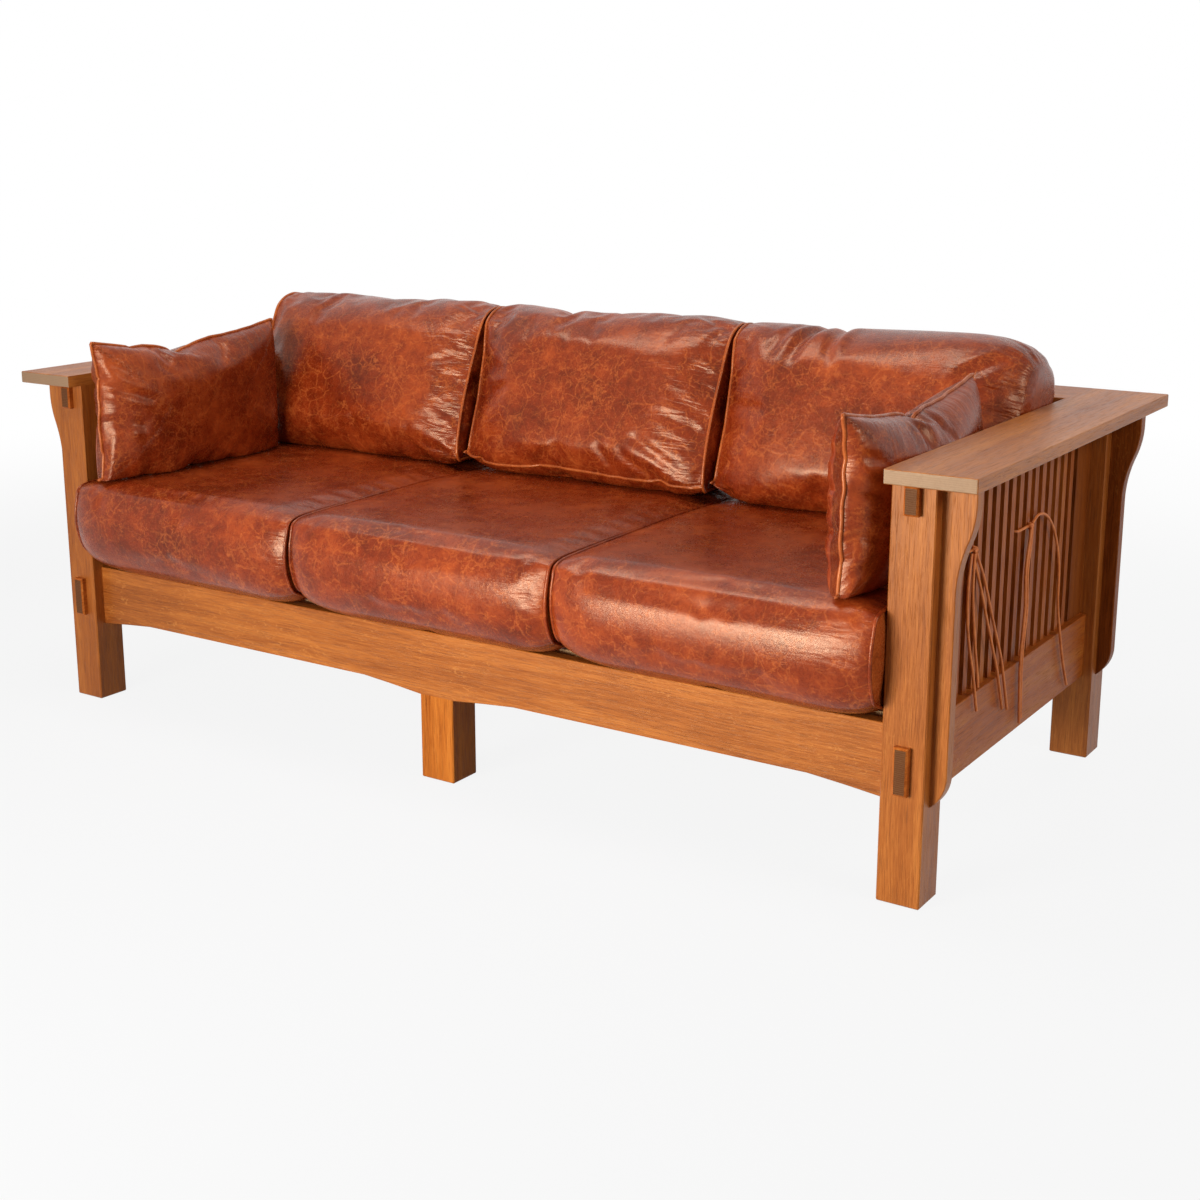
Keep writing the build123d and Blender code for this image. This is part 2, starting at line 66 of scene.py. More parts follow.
def setCamera(look):
    yaw, pitch, roll = (math.radians(look[key]) for key in ("yaw", "pitch", "roll"))
    ahead = Vector((-math.sin(yaw) * math.cos(pitch), math.cos(yaw) * math.cos(pitch), math.sin(pitch)))
    side = Vector((math.cos(yaw), math.sin(yaw), 0))
    up = side.cross(ahead)
    across = side * math.cos(roll) + up * math.sin(roll)
    upright = up * math.cos(roll) - side * math.sin(roll)
    data = bpy.data.cameras.new("settle_camera")
    data.lens = look["lens"]
    data.shift_x, data.shift_y = look["shift"]
    data.clip_end = look["farthest"]
    eye = bpy.data.objects.new("settle_camera", data)
    scene.collection.objects.link(eye)
    turn = Matrix((across, upright, -ahead)).transposed().to_4x4()
    eye.matrix_world = Matrix.Translation(look["place"]) @ turn
    scene.camera = eye


setCamera(camera)
print("camera set")

# laces, each from inside its knot down to its bare end

laceLook = {"diameter": 0.0052, "roundness": 4, "smoothness": 10}
laceRoutes = {
    "front_lace_inner": (0.2389, [
        (0.9926, -0.22035, 0.5504), (0.9932, -0.22375, 0.536), (0.994, -0.22775, 0.514),
        (0.995, -0.22875, 0.482), (0.9964, -0.22535, 0.444), (0.9982, -0.21935, 0.406),
        (1.0006, -0.21495, 0.37), (1.003, -0.20935, 0.34), (1.0038, -0.20635, 0.314),
    ]),
    "front_lace_outer": (0.2901, [
        (0.9876, -0.22235, 0.5496), (0.9896, -0.23035, 0.5376), (0.992, -0.24115, 0.519),
        (0.994, -0.24935, 0.492), (0.9956, -0.25195, 0.456), (0.9972, -0.24815, 0.418),
        (0.9994, -0.23935, 0.382), (1.0022, -0.22915, 0.344), (1.0038, -0.21975, 0.308),
        (1.0042, -0.20835, 0.272),
    ]),
    "front_lace_long": (0.3569, [
        (0.9926, -0.21475, 0.5504), (0.9936, -0.20735, 0.537), (0.9952, -0.19455, 0.519),
        (0.9964, -0.17715, 0.492), (0.9976, -0.15875, 0.456), (0.999, -0.13795, 0.416),
        (1.0012, -0.11595, 0.374), (1.0034, -0.09575, 0.334), (1.0044, -0.07875, 0.286),
        (1.004, -0.05595, 0.232),
    ]),
    "front_lace_short": (0.3385, [
        (0.9874, -0.21455, 0.5494), (0.9892, -0.21295, 0.5344), (0.9924, -0.20715, 0.515),
        (0.995, -0.19335, 0.486), (0.9966, -0.17675, 0.45), (0.9984, -0.15655, 0.408),
        (1.0008, -0.13695, 0.366), (1.0032, -0.11775, 0.326), (1.0044, -0.10175, 0.284),
        (1.004, -0.08115, 0.24),
    ]),
    "rear_lace_straight": (0.3634, [
        (0.9924, 0.05005, 0.541), (0.993, 0.04725, 0.526), (0.9938, 0.03985, 0.508),
        (0.9948, 0.02985, 0.484), (0.9958, 0.02445, 0.456), (0.9972, 0.02665, 0.424),
        (0.999, 0.02425, 0.39), (1.001, 0.01265, 0.356), (1.0032, 0.00165, 0.322),
        (1.0044, -0.00035, 0.284), (1.0046, 0.00425, 0.236), (1.0042, 0.01125, 0.186),
    ]),
    "rear_lace_crossed": (0.3560, [
        (0.9924, 0.05625, 0.541), (0.9932, 0.05525, 0.525), (0.9942, 0.04805, 0.505),
        (0.9954, 0.03865, 0.482), (0.9966, 0.03285, 0.455), (0.998, 0.03505, 0.423),
        (0.9998, 0.03265, 0.388), (1.0018, 0.02125, 0.355), (1.0038, 0.00985, 0.32),
        (1.0046, 0.00785, 0.282), (1.0044, 0.01225, 0.238), (1.004, 0.01985, 0.193),
    ]),
    "rear_lace_arched": (0.4808, [
        (0.9922, 0.05665, 0.5496), (0.9926, 0.06885, 0.5564), (0.9932, 0.08585, 0.561),
        (0.994, 0.10825, 0.559), (0.9946, 0.13225, 0.5484), (0.9952, 0.15525, 0.5306),
        (0.9958, 0.17565, 0.507), (0.9966, 0.19145, 0.478), (0.9974, 0.20185, 0.446),
        (0.9986, 0.20365, 0.414), (1.0002, 0.19885, 0.384), (1.002, 0.20165, 0.35),
        (1.0038, 0.20925, 0.318), (1.0046, 0.22165, 0.282), (1.0044, 0.24425, 0.234),
        (1.004, 0.27265, 0.188),
    ]),
}


def hangLace(node, points, look):
    curve = bpy.data.curves.new(node + "_strand", "CURVE")
    curve.dimensions = "3D"
    curve.bevel_depth = look["diameter"] / 2
    curve.bevel_resolution = look["roundness"]
    curve.resolution_u = look["smoothness"]
    curve.use_fill_caps = True
    spline = curve.splines.new("NURBS")
    spline.points.add(len(points) - 1)
    for point, place in zip(spline.points, points):
        point.co = (*place, 1)
    spline.order_u = 3
    spline.use_endpoint_u = True
    lace = bpy.data.objects.new(node + "_strand", curve)
    scene.collection.objects.link(lace)
    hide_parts(node)
    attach(lace, "frame")
    return lace


laces = [hangLace(node, points, laceLook) for node, (length, points) in laceRoutes.items()]
print("laces hung")

# shader writing: an expression on wires adds its nodes


class Wire:
    def __init__(self, net, socket):
        self.net, self.socket = net, socket

    def other(self, name):
        return Wire(self.net, self.socket.node.outputs[name])

    def join(self, operation, first, second):
        wires = [side for side in (first, second) if isinstance(side, Wire)]
        if any(wire.socket.type != "VALUE" for wire in wires):
            sides = [side if isinstance(side, Wire) else self.net.triple(side) for side in (first, second)]
            return self.net.add("ShaderNodeVectorMath", {"operation": operation}, {0: sides[0], 1: sides[1]})
        return self.net.maths(operation, first, second)

    def __add__(self, other):
        return self.join("ADD", self, other)

    def __radd__(self, other):
        return self.join("ADD", other, self)

    def __sub__(self, other):
        return self.join("SUBTRACT", self, other)

    def __rsub__(self, other):
        return self.join("SUBTRACT", other, self)

    def __mul__(self, other):
        return self.join("MULTIPLY", self, other)

    def __rmul__(self, other):
        return self.join("MULTIPLY", other, self)


class Finish:
    def __init__(self, name=None, tree=None):
        if tree is None:
            self.material = bpy.data.materials.new(name)
            self.material.use_nodes = True
            tree = self.material.node_tree
        self.tree = tree
        tree.nodes.clear()

    def triple(self, value):
        return value if isinstance(value, (tuple, list)) else (value, value, value)

    def add(self, kind, settings=None, inputs=None, output=0):
        node = self.tree.nodes.new(kind)
        for key, value in (settings or {}).items():
            if key == "stops":
                ramp = node.color_ramp
                ramp.elements[0].position, ramp.elements[0].color = value[0][0], (*value[0][1], 1)
                ramp.elements[1].position, ramp.elements[1].color = value[-1][0], (*value[-1][1], 1)
                for place, colour in value[1:-1]:
                    ramp.elements.new(place).color = (*colour, 1)
            else:
                setattr(node, key, value)
        for key, value in (inputs or {}).items():
            socket = node.inputs[key]
            if isinstance(value, Wire):
                self.tree.links.new(value.socket, socket)
            elif socket.type == "RGBA" and len(value) == 3:
                socket.default_value = (*value, 1)
            else:
                socket.default_value = value
        return Wire(self, node.outputs[output]) if node.outputs else None

    def maths(self, operation, *values):
        return self.add("ShaderNodeMath", {"operation": operation}, dict(enumerate(values)))

    def place(self):
        return self.add("ShaderNodeTexCoord", output="Object")

    def stretched(self, vector, scale, turn=(0, 0, 0)):
        return self.add("ShaderNodeMapping", None, {"Vector": vector, "Scale": scale, "Rotation": turn})

    def clouds(self, vector, scale, detail=3.0, roughness=0.55, bend=0.0, output="Fac"):
        return self.add("ShaderNodeTexNoise", None, {
            "Vector": vector, "Scale": scale, "Detail": detail, "Roughness": roughness, "Distortion": bend,
        }, output)

    def cracks(self, vector, scale):
        return self.add(
            "ShaderNodeTexVoronoi", {"feature": "DISTANCE_TO_EDGE"}, {"Vector": vector, "Scale": scale},
        )

    def fade(self, value, low, high, first=0.0, last=1.0):
        return self.add("ShaderNodeMapRange", {"interpolation_type": "SMOOTHSTEP"}, {
            "Value": value, "From Min": low, "From Max": high, "To Min": first, "To Max": last,
        })

    def tones(self, look, value):
        colours = (look["dark"], look["middle"], look["light"])
        return self.add("ShaderNodeValToRGB", {"stops": list(zip(look["stops"], colours))}, {0: value})

    def blend(self, factor, first, second):
        return self.add("ShaderNodeMix", {"data_type": "RGBA"}, {0: factor, 6: first, 7: second}, 2)

    def close(self, inputs, height=None, depth=0.001, strength=1.0):
        if height is not None:
            inputs["Normal"] = self.add(
                "ShaderNodeBump", None, {"Height": height, "Distance": depth, "Strength": strength},
            )
        surface = self.add("ShaderNodeBsdfPrincipled", None, inputs)
        self.add("ShaderNodeOutputMaterial", None, {"Surface": surface})
        return self.material


# leather

# clouds are given as scale, detail, roughness and bend
leather = {
    "dark": (0.07, 0.0045, 0.0008), "middle": (0.175, 0.0185, 0.0028), "light": (0.32, 0.048, 0.0075),
    "stops": (0.34, 0.5, 0.66), "mix": (0.45, 0.4, 0.15), "drift": 16.0, "wander": 0.03,
    "broad": (6.0, 3.0, 0.6), "mottle": (34.0, 5.0, 0.7), "fibre": (190.0, 3.0, 0.75),
    "vein": (0.58, 0.145, 0.03), "veinShare": 0.42, "veinWear": (0.25, 0.6),
    "webs": ((23.0, 0.05, 0.75), (58.0, 0.07, 0.5)), "webPatches": (0.45, 3.0, 0.4, 0.6),
    "ridges": ((17.0, 0.02, 0.9), (39.0, 0.024, 0.9)), "ridgeCloud": (4.0, 0.5, 0.35),
    "ridgePatches": (0.6, 2.0, 0.42, 0.6),
    "sheen": (0.3, 0.7), "roughness": (0.2, 0.36), "specular": 0.42, "tint": (1.0, 0.68, 0.44),
    "grain": 620.0, "grainWide": 0.25, "creases": (60.0, 4.0, 0.6),
    "puckerScale": (34.0, 7.5, 0.0), "puckerTurn": 0.09, "puckerCloud": (1.0, 3.0, 0.55, 0.3),
    "puckerFade": -11.0, "puckerCrest": 2.2,
    "relief": {"creases": 0.07, "grain": 0.006, "veins": 0.012}, "folds": 0.007, "bump": 0.8,
}


def leatherVeins(net, look, place, bent, fibre):
    # pale lines where the wax is worn: a web of cracks and the level lines of clouds, both in patches
    veins = 0.0
    share, detail, low, high = look["webPatches"]
    for scale, width, depth in look["webs"]:
        patches = net.fade(net.clouds(place + scale, scale * share, detail), low, high)
        line = net.fade(net.cracks(bent, scale), 0.0, width, depth, 0.0) * patches
        veins = net.maths("MAXIMUM", veins, line)
    share, detail, low, high = look["ridgePatches"]
    for scale, width, depth in look["ridges"]:
        away = net.maths("ABSOLUTE", net.clouds(place + scale, scale, *look["ridgeCloud"]) - 0.5)
        patches = net.fade(net.clouds(place - scale, scale * share, detail), low, high)
        line = net.fade(away, 0.0, width, depth, 0.0) * patches
        veins = net.maths("MAXIMUM", veins, line)
    return veins * net.fade(fibre, *look["veinWear"])


def seamPuckers(net, look):
    # folds that start at the seams: x runs along the seam, y away from it, z is their strength
    seam = net.add("ShaderNodeAttribute", {"attribute_name": "seam"}, output="Vector")
    reach = net.add("ShaderNodeSeparateXYZ", None, {0: seam}, "Y")
    spread = net.stretched(seam, look["puckerScale"], (0, 0, look["puckerTurn"]))
    crest = net.maths("ABSOLUTE", net.clouds(spread, *look["puckerCloud"]) - 0.5)
    fade = net.maths("EXPONENT", reach * look["puckerFade"]) * reach.other("Z")
    return (0.5 - crest * look["puckerCrest"]) * fade


def leatherFinish(name, look):
    net = Finish(name)
    place = net.place()
    bent = place + (net.clouds(place, look["drift"], output="Color") - 0.5) * look["wander"]
    broad = net.clouds(place, *look["broad"])
    mottle = net.clouds(bent, *look["mottle"])
    fibre = net.clouds(bent, *look["fibre"])
    shares = look["mix"]
    base = net.tones(look, broad * shares[0] + mottle * shares[1] + fibre * shares[2])
    veins = leatherVeins(net, look, place, bent, fibre)
    grain = net.fade(net.cracks(place, look["grain"]), 0.0, look["grainWide"])
    relief = look["relief"]
    height = net.clouds(bent, *look["creases"]) * relief["creases"] + grain * relief["grain"]
    height = height - veins * relief["veins"] + seamPuckers(net, look)
    return net.close({
        "Base Color": net.blend(veins * look["veinShare"], base, look["vein"]),
        "Roughness": net.fade(broad * 0.5 + fibre * 0.5, *look["sheen"], *look["roughness"]),
        "Specular IOR Level": look["specular"], "Specular Tint": look["tint"],
    }, height, look["folds"], look["bump"])


leatherSkin = leatherFinish("waxed_leather", leather)
weltSkin = leatherFinish("welt_leather", dict(
    leather, light=(0.50, 0.125, 0.026), middle=(0.32, 0.062, 0.011), dark=(0.18, 0.028, 0.005), folds=0.001,
))

laceLeather = {
    "dark": (0.46, 0.105, 0.022), "middle": (0.72, 0.21, 0.05), "light": (0.88, 0.34, 0.11),
    "stops": (0.3, 0.55, 0.8), "fibre": (320.0, 3.0, 0.7), "along": (1, 1, 0.2), "tone": 45.0,
    "sheen": (0.3, 0.7), "roughness": (0.38, 0.6), "specular": 0.3, "depth": 0.0006, "bump": 0.5,
}


def laceFinish(look):
    net = Finish("lace_leather")
    place = net.place()
    fibre = net.clouds(net.stretched(place, look["along"]), *look["fibre"])
    return net.close({
        "Base Color": net.tones(look, net.clouds(place, look["tone"]) * 0.5 + fibre * 0.5),
        "Roughness": net.fade(fibre, *look["sheen"], *look["roughness"]),
        "Specular IOR Level": look["specular"],
    }, fibre, look["depth"], look["bump"])


laceSkin = laceFinish(laceLeather)
for lace in laces:
    lace.data.materials.append(laceSkin)
print("leathers mixed")

# oak, one finish for each direction of the grain

oak = {
    "dark": (0.175, 0.036, 0.0034), "middle": (0.32, 0.085, 0.012), "light": (0.49, 0.158, 0.027),
    "stops": (0.36, 0.5, 0.66), "mix": (0.42, 0.4, 0.18), "drift": 3.0, "wander": 0.02, "along": 0.04,
    "bands": (30.0, 4.0, 0.6, 0.6), "streaks": (380.0, 4.0, 0.72), "broad": (2.6, 2.0),
    "pore": (0.06, 0.015, 0.003), "pores": 0.3, "poreCloud": (700.0, 2.0, 0.5), "poreAlong": 0.03,
    "poreEdge": (0.55, 0.66),
    "ray": (0.54, 0.2, 0.042), "rays": 0.4, "rayCloud": (135.0, 2.0, 0.45, 1.6), "rayAlong": 0.42,
    "rayTurn": (0.12, 0.09, 0.15), "rayEdge": (0.6, 0.68), "rayPatches": (7.0, 2.0),
    "rayPatchEdge": (0.42, 0.6),
    "end": (0.105, 0.045, 0.018), "endShare": 0.92, "endEdge": (0.75, 0.92),
    "rings": 0.8, "ringScale": 90.0, "ringEdge": (0.3, 0.8),
    "ringBend": {"Distortion": 1.2, "Detail": 2.0, "Detail Scale": 2.0},
    "sheen": (0.3, 0.7), "roughness": (0.34, 0.46), "poreRoughness": 0.12,
    "specular": 0.38, "tint": (1.0, 0.74, 0.48),
    "relief": {"streaks": 0.35, "pores": 0.8, "rings": 0.6}, "depth": 0.0004, "bump": 0.6,
}


def oakFinish(name, axis, look):
    # axis is the direction of the grain: 0 along X, 1 along Y, 2 upright
    net = Finish(name)
    place = net.place()

    def along(share, vector, turn=(0, 0, 0)):
        return net.stretched(vector, [share if n == axis else 1.0 for n in range(3)], turn)

    bent = place + (net.clouds(place, look["drift"], 2.0, output="Color") - 0.5) * look["wander"]
    run = along(look["along"], bent)
    streaks = net.clouds(run, *look["streaks"])
    shares = look["mix"]
    figure = net.clouds(run, *look["bands"]) * shares[0] + streaks * shares[1]
    colour = net.tones(look, figure + net.clouds(place, *look["broad"]) * shares[2])
    pores = net.fade(net.clouds(along(look["poreAlong"], place), *look["poreCloud"]), *look["poreEdge"])
    colour = net.blend(pores * look["pores"], colour, look["pore"])
    rays = net.clouds(along(look["rayAlong"], bent, look["rayTurn"]), *look["rayCloud"])
    flecks = net.fade(rays, *look["rayEdge"])
    flecks = flecks * net.fade(net.clouds(place, *look["rayPatches"]), *look["rayPatchEdge"])
    colour = net.blend(flecks * look["rays"], colour, look["ray"])
    normal = net.add("ShaderNodeNewGeometry", output="Normal")
    facing = net.add("ShaderNodeSeparateXYZ", None, {0: normal}, axis)
    ends = net.fade(net.maths("ABSOLUTE", facing), *look["endEdge"])
    rings = net.add("ShaderNodeTexWave", {"bands_direction": "X" if axis == 2 else "Z"}, {
        "Vector": place, "Scale": look["ringScale"], **look["ringBend"],
    }, "Fac")
    rings = net.fade(rings, *look["ringEdge"]) * look["rings"]
    colour = net.blend(ends * look["endShare"], colour, net.blend(rings, look["end"], look["pore"]))
    relief = look["relief"]
    height = streaks * relief["streaks"] - pores * relief["pores"] - rings * ends * relief["rings"]
    return net.close({
        "Base Color": colour,
        "Roughness": net.fade(streaks, *look["sheen"], *look["roughness"]) + pores * look["poreRoughness"],
        "Specular IOR Level": look["specular"], "Specular Tint": look["tint"],
    }, height, look["depth"], look["bump"])


# lighter copy of the oak for the arms: painted light on their tops, and a pale end colour that is a painted
# sheen on their front edges
sheenPaintedBoards = dict(
    oak, rings=0.1, end=(0.27, 0.17, 0.1), dark=(0.2, 0.045, 0.005), middle=(0.37, 0.11, 0.017),
    light=(0.56, 0.2, 0.038), pores=0.3,
)
shaded = dict(oak, specular=0.12, rays=0.15, dark=(0.17, 0.03, 0.0025), middle=(0.38, 0.088, 0.012))
# darker copy of the oak for the rear stiles and corbels: partly a darker board, partly painted shade
darkBoardAndShade = dict(shaded, dark=(0.1, 0.018, 0.0016), middle=(0.22, 0.05, 0.0068), light=(0.36, 0.1, 0.018))
# lighter copy of the oak for the middle legs: painted light that stands in for the strong light on their
# fronts
paintedLightLegs = dict(
    oak, specular=0.1, rays=0.15, dark=(0.24, 0.05, 0.004), middle=(0.43, 0.12, 0.016), light=(0.6, 0.2, 0.03),
)
grains = {
    "X": (oakFinish("oak_across", 0, oak), ["front_apron", "rear_apron", "back_top_rail", "back_shelf"]),
    "Y": (oakFinish("oak_front_to_back", 1, dict(shaded, rays=0.4)), [
        "side_rail_right", "side_rail_left", "arm_rail_right", "arm_rail_left",
    ]),
    "arms": (oakFinish("oak_boards_painted_sheen", 1, sheenPaintedBoards), ["arm_right", "arm_left"]),
    "Z": (oakFinish("oak_upright", 2, dict(oak, rays=0.15)), [
        "front_post_right", "front_post_left", "rear_post_right", "rear_post_left", "front_corbel_right",
        "front_corbel_left",
    ]),
    "paintedLightLegs": (oakFinish("oak_legs_painted_light", 2, paintedLightLegs), ["front_middle_leg", "rear_middle_leg"]),
    "shaded": (oakFinish("oak_shaded", 2, shaded), [
        "side_spindles_right", "side_spindles_left", "back_spindles", "back_middle_stile",
    ]),
    "darkBoardAndShade": (oakFinish("oak_dark_board_and_shade", 2, darkBoardAndShade), [
        "rear_stile_right", "rear_stile_left", "rear_corbel_right", "rear_corbel_left",
    ]),
}
deck = dict(
    oak, dark=(0.34, 0.19, 0.085), middle=(0.46, 0.27, 0.125), light=(0.58, 0.37, 0.19),
    pore=(0.26, 0.14, 0.06), ray=(0.62, 0.42, 0.22), end=(0.38, 0.22, 0.1), roughness=(0.55, 0.7), rays=0.1,
)
grains.update({
    "deckY": (oakFinish("deck_front_to_back", 1, deck), [
        "seat_cross_rail", "seat_cleat_right", "seat_cleat_left",
    ]),
    "deckX": (oakFinish("deck_across", 0, deck), ["seat_slats_right", "seat_slats_left"]),
    "pegZ": (oakFinish("pegs_upright", 2, deck), ["arm_dowels"]),
    "pegX": (oakFinish("pegs_across", 0, deck), ["shelf_dowels"]),
})


def dress(node, material):
    piece = nodes[node]
    piece.data.materials.clear()
    piece.data.materials.append(material)


for material, names in grains.values():
    for name in names:
        dress(name, material)


plain = {
    "cleat_screws": {
        "name": "screw_steel", "dark": (0.24, 0.24, 0.23), "light": (0.42, 0.42, 0.40), "scale": 900,
        "roughness": (0.3, 0.5), "metallic": 1.0,
    },
    "foot_glides": {
        "name": "glide_plastic", "dark": (0.03, 0.024, 0.02), "light": (0.055, 0.045, 0.036), "scale": 400,
        "roughness": (0.45, 0.65), "metallic": 0.0,
    },
}


def plainFinish(look, depth=0.0003, bump=0.4):
    net = Finish(look["name"])
    spots = net.clouds(net.place(), look["scale"], 3.0, 0.6)
    return net.close({
        "Base Color": net.blend(net.fade(spots, 0.35, 0.65), look["dark"], look["light"]),
        "Roughness": net.fade(spots, 0.3, 0.7, *look["roughness"]), "Metallic": look["metallic"],
    }, spots, depth, bump)


for node, look in plain.items():
    dress(node, plainFinish(look))
print("wood finished")

# soft shapes


def smoothLoop(knots, places, period=4.0):
    # a smooth closed curve through knots of (place, y, z)
    table = np.array(knots)
    at = np.concatenate([table[-2:, 0] - period, table[:, 0], table[:2, 0] + period])
    value = np.concatenate([table[-2:, 1:], table[:, 1:], table[:2, 1:]])
    slope = np.zeros_like(value)
    slope[1:-1] = (value[2:] - value[:-2]) / (at[2:] - at[:-2])[:, None]
    which = np.clip(np.searchsorted(at, places, side="right") - 1, 1, len(at) - 3)
    span = (at[which + 1] - at[which])[:, None]
    share = ((places - at[which])[:, None]) / span
    first, last = value[which], value[which + 1]
    start, end = slope[which] * span, slope[which + 1] * span
    return (
        first * (2 * share ** 3 - 3 * share ** 2 + 1) + start * (share ** 3 - 2 * share ** 2 + share)
        + last * (3 * share ** 2 - 2 * share ** 3) + end * (share ** 3 - share ** 2)
    )


def boxGrid(counts):
    across, deep, high = counts
    index, points, faces = {}, [], []

    def at(i, j, k):
        key = (i, j, k)
        if key not in index:
            index[key] = len(points)
            points.append(key)
        return index[key]

    for i in range(across):
        for j in range(deep):
            faces.append((at(i, j, 0), at(i, j + 1, 0), at(i + 1, j + 1, 0), at(i + 1, j, 0)))
            faces.append((at(i, j, high), at(i + 1, j, high), at(i + 1, j + 1, high), at(i, j + 1, high)))
    for i in range(across):
        for k in range(high):
            faces.append((at(i, 0, k), at(i + 1, 0, k), at(i + 1, 0, k + 1), at(i, 0, k + 1)))
            faces.append((at(i, deep, k), at(i, deep, k + 1), at(i + 1, deep, k + 1), at(i + 1, deep, k)))
    end = across
    for j in range(deep):
        for k in range(high):
            faces.append((at(0, j, k), at(0, j, k + 1), at(0, j + 1, k + 1), at(0, j + 1, k)))
            faces.append((at(end, j, k), at(end, j + 1, k), at(end, j + 1, k + 1), at(end, j, k + 1)))
    cube = np.array(points) / np.array(counts) * 2 - 1
    return cube, faces, index


def ripple(along, seed, waves):
    # gathers along a seam: a sum of waves with chosen lengths and seeded phases
    phases = np.random.default_rng(seed).uniform(0, 2 * math.pi, len(waves))
    total = sum(np.sin(2 * math.pi * along / length + phase) for length, phase in zip(waves, phases))
    return total / len(waves)


crease = {"start": 0.15, "run": 0.85, "taper": 0.5, "lip": 0.55, "lipPlace": 1.7}


def pressFolds(across, along, folds, look=crease):
    # depth of pressed creases: each is a line with a valley and a raised lip at both sides
    depth = np.zeros(len(across))
    for first, last, deep, wide in folds:
        start, end = np.array(first, float), np.array(last, float)
        run = end - start
        share = ((across - start[0]) * run[0] + (along - start[1]) * run[1]) / (run @ run)
        held = np.clip(share, 0, 1)
        away = np.hypot(across - start[0] - held * run[0], along - start[1] - held * run[1]) / wide
        reach = np.clip(held * look["run"] + look["start"], 0, 1)
        taper = np.sin(reach * math.pi) ** look["taper"]
        depth += deep * taper * (np.exp(-away ** 2) - look["lip"] * np.exp(-(away - look["lipPlace"]) ** 2))
    return depth


def wrapPoints(look, cube, seed):
    # one skin wrapped round a profile, closed by a panel at each end
    u, v, w = cube.T
    ring = np.maximum(np.maximum(np.abs(v), np.abs(w)), 1e-6)
    sideV, sideW = v / ring, w / ring
    turn = np.select(
        [sideV <= -1 + 1e-9, sideW >= 1 - 1e-9, sideV >= 1 - 1e-9],
        [(sideW + 1) / 2, 1 + (sideV + 1) / 2, 2 + (1 - sideW) / 2], 3 + (1 - sideV) / 2,
    ) % 4
    edge = smoothLoop(look["profile"], turn)
    run = smoothLoop(look["profile"], (turn + 0.01) % 4) - smoothLoop(look["profile"], (turn - 0.01) % 4)
    run /= np.linalg.norm(run, axis=1)[:, None]
    out = np.stack([-run[:, 1], run[:, 0]], 1)
    dense = smoothLoop(look["profile"], np.linspace(0, 4, 801) % 4)
    lengths = np.concatenate([[0], np.cumsum(np.linalg.norm(np.diff(dense, axis=0), axis=1))])
    along = np.interp(turn, np.linspace(0, 4, 801), lengths)
    left = u < 0
    leftInset, rightInset = look["leftInset"], look["rightInset"]
    inset = np.where(left, np.interp(turn, *leftInset), np.interp(turn, *rightInset))
    inset = inset * np.abs(u) ** np.where(left, look["crownPower"][0], look["crownPower"][1])
    fromSeam = (1 - np.abs(u)) * look["half"]
    lean = np.where(left, 0.5, -0.5) * fromSeam
    gathers = np.where(
        left, ripple(along + lean, seed, look["waves"]), ripple(along + lean, seed + 1, look["waves"]),
    )
    strength = np.where(left, look["gathers"][0], look["gathers"][1])
    peak = fromSeam / look["gatherPeak"]
    near = peak * np.exp(1 - peak) * 0.4 + 0.6 * np.exp(-fromSeam / look["gatherReach"])
    near = near * np.clip(fromSeam / look["gatherClear"], 0, 1)
    pressed = pressFolds(u * look["half"], along, look["pressed"])
    skin = edge + out * (gathers * strength * near - inset - pressed)[:, None]
    middle = np.array(look["middle"])
    flat = middle + (skin - middle) * ring[:, None]
    bulge = look["capBulge"] * (1 - ring ** 2.5)
    ended = np.abs(u) > 1 - 1e-9
    waist = look["waist"] * np.sin(np.clip(turn, 0, 1) * math.pi) * np.abs(u) ** 3 * (turn < 1) * ring
    x = np.where(ended, np.sign(u) * (look["half"] + bulge), u * look["half"]) - np.sign(u) * waist
    seam = np.stack([
        along / 1000 + seed, np.where(ended & (ring < 1 - 1e-9), 1.0, fromSeam / 1000),
        strength / look["fullFold"] * np.interp(turn, *look["foldShare"]),
    ], 1)
    return np.stack([x + look["x"], flat[:, 0], flat[:, 1]], 1), seam


def softMesh(name, points, faces, material, creases, seam):
    mesh = bpy.data.meshes.new(name)
    mesh.from_pydata([tuple(point) for point in points], [], faces)
    mesh.polygons.foreach_set("use_smooth", [True] * len(mesh.polygons))
    mesh.materials.append(material)
    held = {tuple(sorted(pair)) for pair in creases}
    sharp = mesh.attributes.new("crease_edge", "FLOAT", "EDGE")
    sharp.data.foreach_set("value", [float(tuple(sorted(edge.vertices)) in held) for edge in mesh.edges])
    runs = mesh.attributes.new("seam", "FLOAT_VECTOR", "POINT")
    runs.data.foreach_set("vector", seam.astype(np.float32).ravel())
    mesh.update()
    piece = bpy.data.objects.new(name, mesh)
    scene.collection.objects.link(piece)
    return piece


def seamRing(index, counts, i):
    _, deep, high = counts
    ring = [(i, 0, k) for k in range(high)] + [(i, j, high) for j in range(deep)]
    ring += [(i, deep, k) for k in range(high, 0, -1)] + [(i, j, 0) for j in range(deep, 0, -1)]
    return [index[key] for key in ring]


def readPoints(mesh):
    flat = np.empty(len(mesh.vertices) * 3)
    mesh.vertices.foreach_get("co", flat)
    return flat.reshape(-1, 3)


def writePoints(mesh, points):
    mesh.vertices.foreach_set("co", points.astype(np.float32).ravel())
    mesh.update()


coverSim = {"frames": 20, "quality": 5, "mass": 0.3, "shearShare": 0.6, "damping": 8, "airDamping": 4}


